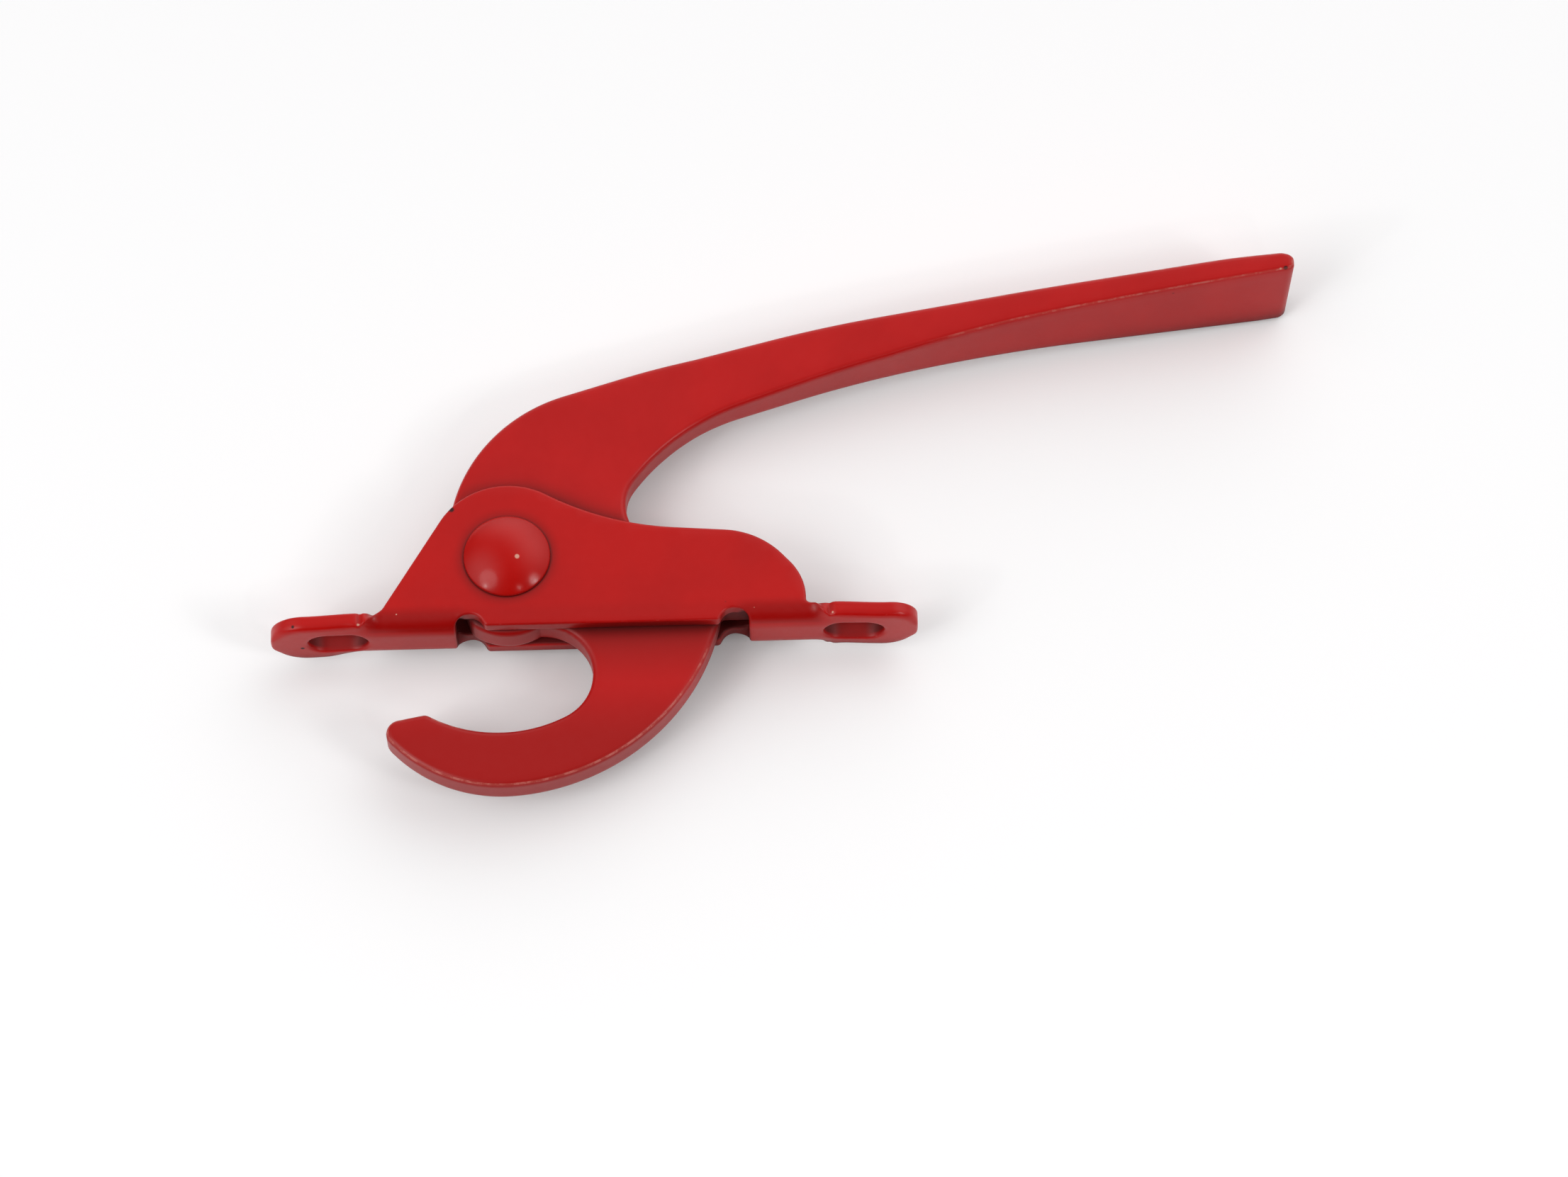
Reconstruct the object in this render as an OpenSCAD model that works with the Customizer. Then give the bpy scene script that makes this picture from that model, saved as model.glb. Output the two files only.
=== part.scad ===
// Hook lever latch: a cast hook with a long flared handle turns on a rivet
// between the cheeks of a folded sheet bracket.  Millimetres.
//
// Origin: middle of the two mounting slots, on the face that is screwed down.
// +X runs along the bracket towards the handle's end, +Y stands away from the
// mounting face, and +Z runs along the rivet towards its head.

/* [Bracket sheet] */
// Thickness of the folded sheet
sheet_t = 2.1; // [1.6:0.1:2.6]
// Inside radius of the two long folds
fold_r = 0.7; // [0.4:0.1:1.2]
// Slack between the hook lever and each cheek
side_gap = 0.1; // [0.05:0.05:0.4]

/* [Cheeks] */
// Radius of the cheek lobe round the rivet
rivet_lobe_r = 10.4; // [9.5:0.1:11.5]
// Slope of the cheek's rear edge, in degrees from the mounting face
rear_slope = 58.5; // [52:0.5:66]
// Radius of the cheek lobe over the front land
front_lobe_r = 11.3; // [10.6:0.1:11.8]
// Distance of the front lobe's centre ahead of the slots' middle
front_lobe_x = 16.4; // [15.8:0.1:17]
// Height of the front lobe's centre over the mounting face
front_lobe_y = 2; // [1.6:0.1:2.4]
// Fall of the cheek's top edge towards the front lobe, in degrees
top_fall = 4.5; // [3:0.5:7]
// Hollow radius between the rivet lobe and the top edge
waist_r = 40; // [32:1:46]
// Fillet where a cheek runs out into a tab
toe_r = 1.2; // [0.8:0.1:1.6]

/* [Base and tabs] */
// Overall length of the bracket
bracket_length = 85; // [84:0.5:92]
// Distance between the mounting slots
slot_spacing = 68; // [66:0.5:70]
// End-to-end length of a mounting slot
slot_length = 7.8; // [6:0.2:9.4]
// Width of a mounting slot
slot_width = 4.5; // [4:0.1:5.6]
// Rear edge of the opening through the base
opening_rear = -18.4; // [-20:0.2:-18]
// Front edge of the opening through the base
opening_front = 20.2; // [19.6:0.2:21]
// Width of the relief notch at each corner of the opening
notch_width = 3.8; // [3:0.1:4.2]
// Height of a relief notch over the mounting face
notch_height = 2; // [1.9:0.1:2.6]
// How far the cheeks' free edges stay above the mounting face
cheek_lift = 0.3; // [0.05:0.05:0.6]
// How much narrower each edge of a tab is at its root
neck_depth = 0.7; // [0.2:0.1:1]
// Distance from the slots' middle to where the full tab width starts
tab_start = 31.8; // [31:0.1:32.6]

/* [Rivet] */
// Place of the rivet along the bracket
pivot_x = -11.5; // [-12.5:0.1:-10.5]
// Height of the rivet over the mounting face
pivot_y = 10; // [9.5:0.1:10.5]
// Shank diameter
shank_d = 6.35; // [5:0.05:7]
// Head diameter
head_d = 11.1; // [10:0.1:12.6]
// Head height
head_h = 2.4; // [2:0.1:3]
// Radius of the head's shallow crown
crown_r = 16; // [12:1:24]
// Radius of the head's rolled rim
rim_r = 1.4; // [1:0.1:1.6]
// Diameter of the upset tail
tail_d = 9.6; // [8.5:0.1:11]
// Height of the upset tail
tail_h = 1.8; // [1.6:0.1:2.4]
// Radial running clearance of the hook lever on the shank
running_gap = 0.06; // [0.02:0.01:0.1]

/* [Hook] */
// Thickness of the hook and its eye
lever_t = 4.8; // [4:0.1:5.6]
// Radius of the nose under the rivet, seen through the opening
nose_r = 8; // [7.6:0.1:8.4]
// Distance of the nose's centre below the rivet
nose_drop = 2.2; // [1.8:0.1:2.4]
// Radius of the long outer curve of the hook
hook_r = 30; // [29:0.2:30.6]
// Radius of the heel, the tighter outer curve towards the hook's tip
heel_r = 20; // [18:0.5:22]
// Radius of the long inner curve of the hook
inner_r = 18.7; // [17.5:0.1:20]
// Radius of the throat
throat_r = 6.75; // [6.4:0.05:7]
// Throat centre ahead of the rivet
throat_x = 4.3; // [4:0.1:4.6]
// Throat centre below the mounting face
throat_y = 5.8; // [5.4:0.1:6.2]
// Radius of the hook's rounded tip
tip_round = 1.9; // [1.4:0.05:2]
// Gap between the stop shoulder and the front land
stop_gap = 0.6; // [0.3:0.1:0.9]
// How far the stop shoulder reaches over the front land
stop_reach = 3; // [2:0.5:4]
// Radius that softens every long edge of the casting
edge_r = 0.8; // [0.4:0.1:0.9]

/* [Handle] */
// Distance from the slots' middle to the handle's end
handle_end = 94.35; // [86:1:104]
// Height of the handle's top edge at its end
handle_rise = 51.15; // [49:0.5:53]
// Height of the bar at its end
tip_height = 4; // [3.6:0.1:4.8]
// Width of the bar across its end, along the rivet's direction
tip_width = 13.4; // [9:0.2:16]
// Where the bar starts to widen
flare_x = 14; // [13:0.5:20]
// Length of the chamfer on the end's back corner, along the handle
chamfer_x = 1.3; // [0.6:0.1:2]
// Height of that chamfer, along the rivet's direction
chamfer_z = 4.7; // [2:0.1:6]
// Radius of the shoulder above the rivet
shoulder_r = 21.8; // [21:0.1:22.6]
// Radius of the finger gap behind the bar
finger_r = 29; // [27:0.5:31]
// Radius of the finger gap's root
gap_root_r = 6; // [5.4:0.1:6.4]

/* [Hidden] */
$fn = 96;
sheet_red = [0.71, 0.13, 0.11];
cast_red = [0.72, 0.15, 0.14];
rivet_red = [0.70, 0.16, 0.15];
over = 1;
// Joined curves cross by this much, so that they don't only touch
ease = 0.02;

// Plane geometry
function dir(a) = [cos(a), sin(a)];
function flat(p) = [p[0], p[1]];
function on(c, r, a) = c + r * dir(a);
function meet(p, a, q, b) = p + cross(q - p, dir(b)) / cross(dir(a), dir(b)) * dir(a);
function wrap(a) = a > 180 ? a - 360 : (a < -180 ? a + 360 : a);

// Shared places
pivot = [pivot_x, pivot_y];
inner_z = lever_t / 2 + side_gap;
outer_z = inner_z + sheet_t;
fold_out = fold_r + sheet_t;
hole_d = shank_d + 0.1;

// Side outline of a cheek, rear toe to front toe
front_c = [front_lobe_x, front_lobe_y];
rear_t = on(pivot, rivet_lobe_r - ease, 90 + rear_slope);
rear_foot = meet(rear_t, rear_slope, [0, sheet_t], 0);
rear_toe = [rear_foot[0] - toe_r * tan(rear_slope / 2), sheet_t + toe_r];
top_t = on(front_c, front_lobe_r - ease, 90 - top_fall);
top_n = dir(90 - top_fall);
pivot_over = (pivot - top_t) * top_n;
waist_rise = waist_r - pivot_over;
waist_run = sqrt(pow(rivet_lobe_r + waist_r, 2) - pow(waist_rise, 2));
waist_c = pivot + waist_run * dir(-top_fall) + waist_rise * top_n;
waist_t = waist_c - waist_r * top_n;
front_rise = sheet_t + toe_r - front_lobe_y;
front_run = sqrt(pow(front_lobe_r + toe_r, 2) - pow(front_rise, 2));
front_toe = front_c + [front_run, front_rise];

// Outline of the hook lever as rounded corners: [x, y, radius, steps]
function corner(p, r, n) = [p[0], p[1], r, n];
function bend(c, r, a, b) =
    let (p = on(c, r / cos((b - a) / 2), (a + b) / 2))
    [p[0], p[1], r, max(3, ceil(abs(b - a) / (r > 12 ? 4.5 : 9)))];

shoulder_c = pivot + [13.9, 3.6];
nose_c = pivot - [0, nose_drop];
throat_c = [pivot_x + throat_x, -throat_y];
inner_c = on(throat_c, inner_r - throat_r, 116.8);
hook_c = pivot - [1.4, 1.6];
heel_c = on(hook_c, hook_r - heel_r, 274);
gap_c = pivot + [21.7, 8.2];
finger_c = on(gap_c, finger_r - gap_root_r, -36);

// Nose and its step into the throat
nose_in = on(nose_c, nose_r, 237);
nose_out = on(nose_c, nose_r, 300);
nose_foot = meet(on(shoulder_c, shoulder_r, 200), 290, nose_in, 327);
nose_step = meet(nose_out, 30, on(throat_c, throat_r, 88), -2);

// Hook tip
lip = on(inner_c, inner_r, 241.5) + dir(151.5);
tip = meet(lip, 190.8, on(heel_c, heel_r, 223), 133);

// Stop shoulder over the front land
stop_y = sheet_t + stop_gap;
hook_end = asin((stop_y - 0.6 - hook_c[1]) / hook_r);
stop_root = meet(on(hook_c, hook_r, hook_end), 90 + hook_end, [0, stop_y], 0);
stop_x = opening_front + stop_reach;

// Handle: the top edge is laid back from its end, the lower edge likewise
top_end = [handle_end, handle_rise];
top_d = top_end - 8.4 * dir(3.4);
top_c = top_d - 26.2 * dir(7);
top_b = top_c - 29.3 * dir(8.1);
top_a = on(shoulder_c, shoulder_r, 107) + 12 * dir(17);
low_end = top_end - [0, tip_height];
low_b = low_end - 38.6 * dir(7.66);
low_a = meet(on(finger_c, finger_r, 108.5), 18.5, low_b, 12.1);

rest = [
    bend(shoulder_c, shoulder_r, 107, 152),
    bend(shoulder_c, shoulder_r, 152, 200),
    corner(nose_foot, 1.6, 3),
    bend(nose_c, nose_r, 237, 300),
    corner(nose_step, 0.4, 2),
    bend(throat_c, throat_r, 88, 14),
    bend(throat_c, throat_r, 14, -63.2),
    bend(inner_c, inner_r, -63.2, -118.5),
    corner(lip, 1.2, 3),
    corner(tip, tip_round, 9),
    bend(heel_c, heel_r, -137, -86),
    bend(hook_c, hook_r, -86, -50),
    bend(hook_c, hook_r, -50, hook_end),
    corner(stop_root, 0.6, 3),
    corner([stop_x, stop_y], 2.5, 4),
    corner([stop_x - 1, pivot_y + 1.5], 4, 5),
    bend(gap_c, gap_root_r, 268, 206),
    bend(gap_c, gap_root_r, 206, 144),
    bend(finger_c, finger_r, 144, 108.5)
];
bar = [
    corner(low_a, 170, 3),
    corner(low_b, 260, 4),
    corner(low_end, 1.2, 4),
    corner(top_end, 1.8, 4),
    corner(top_d, 100, 1),
    corner(top_c, 600, 2),
    corner(top_b, 180, 3),
    corner(top_a, 110, 3)
];
corners = concat(rest, bar);
count = len(corners);
function prev(i) = (i + count - 1) % count;
function next(i) = (i + 1) % count;
function side(i) = flat(corners[next(i)]) - flat(corners[i]);
heading = [for (i = [0 : count - 1]) atan2(side(i)[1], side(i)[0])];
turn = [for (i = [0 : count - 1]) wrap(heading[i] - heading[prev(i)])];
reach = [for (i = [0 : count - 1]) corners[i][2] * abs(tan(turn[i] / 2))];
room = [for (i = [0 : count - 1]) min(1, norm(side(i)) / (reach[i] + reach[next(i)]))];
share = [for (i = [0 : count - 1]) min(room[i], room[prev(i)])];

// The outline, set in by d
function ring(d) = [
    for (i = [0 : count - 1])
        let (s = sign(turn[i]), r = corners[i][2] * share[i], h = heading[prev(i)])
        let (c = flat(corners[i]) - reach[i] * share[i] * dir(h) + s * r * dir(h + 90))
        for (k = [0 : corners[i][3]])
            on(c, r - s * d, h - s * 90 + turn[i] * k / corners[i][3])
];

outline = ring(0);
points_n = len(outline);
function steps_to(i) = i == 0 ? 0 : steps_to(i - 1) + corners[i - 1][3] + 1;
// The bar's own points start four before its first corner
bar_from = steps_to(len(rest)) - 4;
bar_half = (points_n - bar_from) / 2;

flare = (tip_width - lever_t) / 2 / (handle_end - flare_x);
half = [
    for (i = [0 : points_n - 1])
        lever_t / 2 + (i < bar_from ? 0 : flare * max(0, outline[i][0] - flare_x))
];

// Edge rounding: inset and drop at each of four levels
levels = [0, 30, 60, 90];
function level_points(a, s) =
    let (o = ring(edge_r * (1 - sin(a))), drop = edge_r * (1 - cos(a)))
    [for (i = [0 : points_n - 1]) [o[i][0], o[i][1], s * (half[i] - drop)]];
lever_points = concat(
    [for (a = levels) each level_points(a, 1)],
    [for (k = [3 : -1 : 0]) each level_points(levels[k], -1)],
    [[pivot_x, pivot_y, lever_t / 2], [pivot_x, pivot_y, -lever_t / 2]]
);
function at(k, i) = k * points_n + i % points_n;
wall_faces = [
    for (k = [0 : 6])
        for (i = [0 : points_n - 1])
            for (f = [[at(k, i), at(k, i + 1), at(k + 1, i + 1)],
                      [at(k, i), at(k + 1, i + 1), at(k + 1, i)]])
                f
];
// Triangles between two facing chains of points: a along the outline, b against it
function between(k, a, b) =
    let (m = len(a) - 1, n = len(b) - 1)
    concat(
        [
            for (i = [0 : m - 1])
                let (j = ceil(n * (i + 0.5) / m - 0.5))
                [at(k, b[j]), at(k, a[i + 1]), at(k, a[i])]
        ],
        [
            for (j = [0 : n - 1])
                let (i = floor(m * (j + 0.5) / n + 0.5))
                [at(k, a[i]), at(k, b[j]), at(k, b[j + 1])]
        ]
    );
function run(a, b) = [for (i = [a : (a < b ? 1 : -1) : b]) i];
// First and last point of one corner, or of a row of corners
function first(i) = steps_to(i);
function last(i) = steps_to(i + 1) - 1;
// The eye is filled from the middle of its bore
function eye(k, c) =
    let (rim = concat(run(first(1), first(5)), run(last(12), last(16)), [last(0)]))
    [for (i = [0 : len(rim) - 1]) [c, at(k, rim[(i + 1) % len(rim)]), at(k, rim[i])]];
function cap(k, c) = concat(
    eye(k, c),
    between(k, run(first(5), last(6)), run(last(12), first(12))),
    between(k, run(last(6), last(8)), run(first(12), first(9))),
    between(k, run(last(16), bar_from), concat(run(last(0), first(0)), [points_n - 1])),
    between(k, run(bar_from, bar_from + bar_half - 1), run(points_n - 1, bar_from + bar_half))
);
function turned(f) = [for (i = [len(f) - 1 : -1 : 0]) f[i]];
eye_front = 8 * points_n;
eye_back = eye_front + 1;
front_cap = cap(0, eye_front);
back_cap = [for (f = cap(7, eye_back)) turned(f)];

module hook_lever() {
    color(cast_red)
    difference() {
        polyhedron(points = lever_points, faces = concat(wall_faces, front_cap, back_cap));
        // bore for the rivet
        translate([pivot_x, pivot_y, -lever_t / 2 - over])
            cylinder(h = lever_t + 2 * over, d = shank_d + 2 * running_gap);
        // slightly raked end with a chamfered back corner
        rotate([90, 0, 0])
        translate([0, 0, -handle_rise - 5])
            linear_extrude(20)
                polygon([
                    [handle_end, tip_width / 2 + over],
                    [handle_end - 0.5, chamfer_z - tip_width / 2],
                    [handle_end - 0.5 - chamfer_x, -tip_width / 2],
                    [handle_end - 0.8 - chamfer_x, -tip_width / 2 - over],
                    [handle_end + 5, -tip_width / 2 - over],
                    [handle_end + 5, tip_width / 2 + over]
                ]);
    }
}

// Slab of the given height whose two low corners are rounded
module round_slab(high, wide, r) {
    translate([r, -wide])
        square([high - r, 2 * wide]);
    translate([0, r - wide])
        square([high, 2 * (wide - r)]);
    for (s = [-1, 1])
        translate([r, s * (wide - r)])
            circle(r);
}

// Straight-sided outline, hollowed by a circle
module hollow(c, r, corner_points) {
    difference() {
        polygon(corner_points);
        translate(c)
            circle(r + ease);
    }
}

module cheek_outline() {
    translate(pivot)
        circle(rivet_lobe_r);
    translate(front_c)
        circle(front_lobe_r);
    hollow(waist_c, waist_r, [
        [rear_foot[0], 0], rear_foot, rear_t, pivot, waist_c, waist_t, top_t,
        front_c, front_c + [front_lobe_r, 0], [front_lobe_x + front_lobe_r, 0]
    ]);
    translate([rear_toe[0], 0])
        square([front_toe[0] - rear_toe[0], sheet_t]);
    hollow(rear_toe, toe_r, [
        [rear_toe[0], sheet_t - 0.1], rear_toe,
        on(rear_toe, toe_r, rear_slope - 90), rear_foot, [rear_foot[0], sheet_t - 0.1]
    ]);
    hollow(front_toe, toe_r, [
        [front_toe[0], sheet_t - 0.1], front_toe, front_c, [front_lobe_x, sheet_t - 0.1]
    ]);
}

// Folded channel: both cheeks with the base between them
module channel() {
    intersection() {
        translate([rear_toe[0], 0, 0])
        rotate([90, 0, 90])
            linear_extrude(front_toe[0] - rear_toe[0])
                difference() {
                    round_slab(40, outer_z, fold_out);
                    translate([sheet_t, 0])
                        round_slab(40, inner_z, fold_r);
                }
        translate([0, 0, -outer_z - over])
            linear_extrude(2 * (outer_z + over))
                cheek_outline();
    }
}

// A tab that widens from its root, on the side s = -1 or 1
module tab(s, toe_x) {
    end_x = bracket_length / 2 - outer_z;
    root_z = outer_z - neck_depth;
    rotate([90, 0, 0])
    translate([0, 0, -sheet_t])
        linear_extrude(sheet_t) {
            polygon([
                [toe_x - s * 0.2, -root_z], [toe_x, -root_z], [s * tab_start, -outer_z],
                [s * end_x, -outer_z], [s * end_x, outer_z],
                [s * tab_start, outer_z], [toe_x, root_z], [toe_x - s * 0.2, root_z]
            ]);
            translate([s * end_x, 0])
                circle(outer_z);
        }
}

module slot() {
    straight = slot_length - slot_width;
    rotate([90, 0, 0])
    translate([0, 0, -sheet_t - over])
        linear_extrude(sheet_t + 2 * over) {
            square([straight, slot_width], center = true);
            for (s = [-1, 1])
                translate([s * straight / 2, 0])
                    circle(d = slot_width);
        }
}

// Relief notch with a round top, cut through both cheeks
module notch(x) {
    r = notch_width / 2;
    translate([x + r, 0, -outer_z - over])
        linear_extrude(2 * (outer_z + over)) {
            translate([0, notch_height - r])
                circle(r);
            translate([-r, -over])
                square([notch_width, notch_height - r + over]);
        }
}

module bracket() {
    color(sheet_red)
    difference() {
        union() {
            difference() {
                channel();
                // opening that the hook swings through
                translate([opening_rear, -over, -outer_z - over])
                    cube([opening_front - opening_rear, fold_out + over, 2 * (outer_z + over)]);
            }
            // flat free edges of the cheeks along the opening
            for (z = [-outer_z, inner_z])
                translate([opening_rear, cheek_lift, z])
                    cube([opening_front - opening_rear, fold_out - cheek_lift, sheet_t]);
            tab(-1, rear_toe[0]);
            tab(1, front_toe[0]);
        }
        notch(opening_rear);
        notch(opening_front - notch_width);
        for (s = [-1, 1])
            translate([s * slot_spacing / 2, 0, 0])
                slot();
        translate([pivot_x, pivot_y, -outer_z - over])
            cylinder(h = 2 * (outer_z + over), d = hole_d);
    }
}

// Half profile of a rivet end: shallow crown running into a rolled rim
module button(d, h, crown, rim) {
    rim_x = d / 2 - rim;
    crown_y = h - crown;
    rim_y = crown_y + sqrt(pow(crown - rim, 2) - pow(rim_x, 2));
    intersection() {
        union() {
            intersection() {
                translate([0, crown_y])
                    circle(crown);
                square([rim_x * crown / (crown - rim), h]);
            }
            translate([rim_x, rim_y])
                circle(rim);
        }
        square([d, 2 * h]);
    }
}

module pivot_rivet() {
    color(rivet_red)
    translate([pivot_x, pivot_y, 0])
        rotate_extrude() {
            translate([0, outer_z])
                button(head_d, head_h, crown_r, rim_r);
            translate([0, -outer_z - 0.1])
                square([shank_d / 2, 2 * outer_z + 0.2]);
            mirror([0, 1])
                translate([0, outer_z])
                    button(tail_d, tail_h, 12, 0.9);
        }
}

bracket();
hook_lever();
pivot_rivet();
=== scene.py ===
import math
import bpy
import numpy as np
from mathutils import Matrix, Vector, geometry


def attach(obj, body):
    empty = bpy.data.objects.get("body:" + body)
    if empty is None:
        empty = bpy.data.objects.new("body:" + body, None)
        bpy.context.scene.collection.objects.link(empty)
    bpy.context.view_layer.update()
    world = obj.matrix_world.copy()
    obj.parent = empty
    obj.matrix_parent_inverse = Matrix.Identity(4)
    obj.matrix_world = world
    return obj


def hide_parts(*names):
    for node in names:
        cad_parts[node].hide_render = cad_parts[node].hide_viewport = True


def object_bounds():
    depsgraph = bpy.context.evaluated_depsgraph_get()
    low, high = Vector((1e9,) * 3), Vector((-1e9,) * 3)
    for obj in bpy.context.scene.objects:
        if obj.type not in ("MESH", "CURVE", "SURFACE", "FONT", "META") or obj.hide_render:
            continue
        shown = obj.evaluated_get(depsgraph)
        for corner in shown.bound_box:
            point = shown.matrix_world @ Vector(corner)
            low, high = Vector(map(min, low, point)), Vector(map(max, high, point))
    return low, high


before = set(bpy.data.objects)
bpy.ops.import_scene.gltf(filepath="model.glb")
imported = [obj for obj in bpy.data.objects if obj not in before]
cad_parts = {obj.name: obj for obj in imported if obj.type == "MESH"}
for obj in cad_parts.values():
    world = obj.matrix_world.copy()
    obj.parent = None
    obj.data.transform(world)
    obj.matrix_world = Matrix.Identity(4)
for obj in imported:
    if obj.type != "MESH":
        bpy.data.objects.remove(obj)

MM = 0.001                          # shapes are worked out in millimetres, and Blender's are in metres
loaded = [list(v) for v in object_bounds()]
scene = bpy.context.scene
scene.view_settings.view_transform = "Standard"

ARC_TURN = 9                        # most degrees between two points of a rounded corner
NEARLY_ZERO = 1e-12                 # keeps a division by a corner's reach finite
SAME_POINT = 1e-4                   # points closer than this are one
SLIVER = 1e-9                       # a triangle of less area is left out
MERGE = 1e-7                        # the triangulation's own tolerance
CHUNK = 2000                        # points measured at a time, to save memory
ROW_SHARE = 0.87                    # height of a triangle with equal sides, as a share of a side


# ---------------------------------------------------------------- plane geometry
def unit(angle):
    """The direction that an angle in degrees points in."""
    angle = np.radians(angle)
    return np.stack([np.cos(angle), np.sin(angle)], -1)


def on(centre, radius, angle):
    """The point of a circle at an angle."""
    return np.array(centre, float) + radius * unit(angle)


def cross_product(p, q):
    return p[0] * q[1] - p[1] * q[0]


def meet(p, p_heading, q, q_heading):
    """Where the line through p crosses the line through q."""
    p, q = np.array(p, float), np.array(q, float)
    share = cross_product(q - p, unit(q_heading)) / cross_product(unit(p_heading), unit(q_heading))
    return p + share * unit(p_heading)


def corner(point, radius):
    """One corner of an outline, with the radius that rounds it."""
    return [point[0], point[1], radius]


def bend(centre, radius, start, end):
    """A rounded corner that gives the arc of a circle from one angle to another."""
    point = on(centre, radius / math.cos(math.radians(end - start) / 2), (start + end) / 2)
    return corner(point, radius)


def circle(centre, radius):
    return [bend(centre, radius, start, start + 90) for start in (0, 90, 180, 270)]


def mirrored(corners):
    """The same corners on the other side of the middle line, in the order that goes on round."""
    return [[x, -w, radius] for x, w, radius in corners[::-1]]


def smooth(value, low, high):
    """0 up to low, 1 from high on, and a smooth step between them."""
    t = np.clip((value - low) / (high - low), 0, 1)
    return t * t * (3 - 2 * t)


def trace(corners, step, hole=False):
    """Points round a row of rounded corners, and at each the way into the material."""
    rows = np.array(corners, float)
    tops, radii = rows[:, :2], rows[:, 2]
    ahead = np.roll(tops, -1, 0) - tops
    heading = np.degrees(np.arctan2(ahead[:, 1], ahead[:, 0]))
    before = np.roll(heading, 1)
    turn = (heading - before + 180) % 360 - 180
    reach = radii * abs(np.tan(np.radians(turn / 2)))
    # neighbouring arcs that don't fit between their corners shrink
    room = np.minimum(1, np.linalg.norm(ahead, axis=1) / (reach + np.roll(reach, -1) + NEARLY_ZERO))
    share = np.minimum(room, np.roll(room, 1))
    arcs, arc_headings = [], []
    for i in range(len(rows)):
        way = np.sign(turn[i])
        radius = radii[i] * share[i]
        start = tops[i] - reach[i] * share[i] * unit(before[i])
        centre = start + way * radius * unit(before[i] + 90)
        length = radius * math.radians(abs(turn[i]))
        count = max(2, math.ceil(length / step), math.ceil(abs(turn[i]) / ARC_TURN))
        angles = before[i] + turn[i] * np.linspace(0, 1, count + 1)
        arcs.append(centre + radius * unit(angles - way * 90))
        arc_headings.append(angles)
    points, headings = [], []
    for i, arc in enumerate(arcs):
        points.append(arc)
        headings.append(arc_headings[i])
        start, end = arc[-1], arcs[(i + 1) % len(arcs)][0]
        count = int(np.linalg.norm(end - start) / step)
        if count > 0:
            t = np.linspace(0, 1, count + 2)[1:-1, None]
            points.append(start + (end - start) * t)
            headings.append(np.full(count, heading[i]))
    points, headings = np.vstack(points), np.concatenate(headings)
    keep = np.linalg.norm(np.roll(points, 1, 0) - points, axis=1) > SAME_POINT
    inward = unit(headings[keep] + 90) * (-1 if hole else 1)
    return points[keep], inward


def lattice(low, high, step):
    """A grid of points in offset rows, over a rectangle."""
    x = np.arange(low[0], high[0], step)
    y = np.arange(low[1], high[1], step * ROW_SHARE)
    grid_x, grid_y = np.meshgrid(x, y)
    grid_x = grid_x + (np.arange(len(y)) % 2)[:, None] * step / 2
    return np.stack([grid_x.ravel(), grid_y.ravel()], -1)


def inside(points, loops):
    """Which points lie between the loops, by counting the edges to one side of each."""
    odd = np.zeros(len(points), bool)
    for loop in loops:
        for a, b in zip(loop, np.roll(loop, -1, 0)):
            if a[1] == b[1]:
                continue
            level = (a[1] > points[:, 1]) != (b[1] > points[:, 1])
            x = a[0] + (points[:, 1] - a[1]) * (b[0] - a[0]) / (b[1] - a[1])
            odd ^= level & (points[:, 0] < x)
    return odd


def clear_of(points, loops, gap):
    """Which points are further than the gap from every point of the loops."""
    clear = np.ones(len(points), bool)
    for loop in loops:
        for at in range(0, len(points), CHUNK):
            distance = np.linalg.norm(points[at:at + CHUNK, None] - loop[None], axis=2).min(1)
            clear[at:at + CHUNK] &= distance > gap
    return clear


def fill(loops, grid, gap):
    """Triangles over the area between the loops, with the grid's points inside it."""
    grid = grid[inside(grid, loops)]
    grid = grid[clear_of(grid, loops, gap)]
    points = np.vstack([*loops, grid])
    edges, base = [], 0
    for loop in loops:
        count = len(loop)
        edges += [(base + i, base + (i + 1) % count) for i in range(count)]
        base += count
    _, _, found, sources, _, _ = geometry.delaunay_2d_cdt([Vector(p) for p in points], edges, [], 0, MERGE)
    triangles = np.array([[sources[i][0] for i in triangle] for triangle in found])
    triangles = triangles[inside(points[triangles].mean(1), loops)]
    a, b, c = points[triangles[:, 0]], points[triangles[:, 1]], points[triangles[:, 2]]
    area = cross_product((b - a).T, (c - a).T)
    solid = abs(area) > SLIVER
    triangles, area = triangles[solid], area[solid]
    triangles[area < 0] = triangles[area < 0][:, ::-1]
    return grid, triangles


# ---------------------------------------------------------------- meshes
def mesh_of(name, points, faces, rim=None):
    """A smooth mesh from points in mm. rim, on each point, is 1 in the middle of a front edge's rounding."""
    mesh = bpy.data.meshes.new(name)
    mesh.from_pydata((points * MM).tolist(), [], [tuple(int(i) for i in face) for face in faces])
    mesh.validate()
    mesh.shade_smooth()
    if rim is not None:
        mesh.attributes.new("rim", "FLOAT", "POINT").data.foreach_set("value", rim.astype(np.float32))
    piece = bpy.data.objects.new(name, mesh)
    scene.collection.objects.link(piece)
    return piece


def wall_faces(loops, rows, row_length):
    """Quads between the rows of points that go round each loop, from the front to the back."""
    faces, base = [], 0
    for points, inward, outer in loops:
        count = len(points)
        for row in range(rows - 1):
            for i in range(count):
                a = row * row_length + base + i
                b = row * row_length + base + (i + 1) % count
                quad = (a, a + row_length, b + row_length, b)
                faces.append(quad if outer else quad[::-1])
        base += count
    return faces


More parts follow.
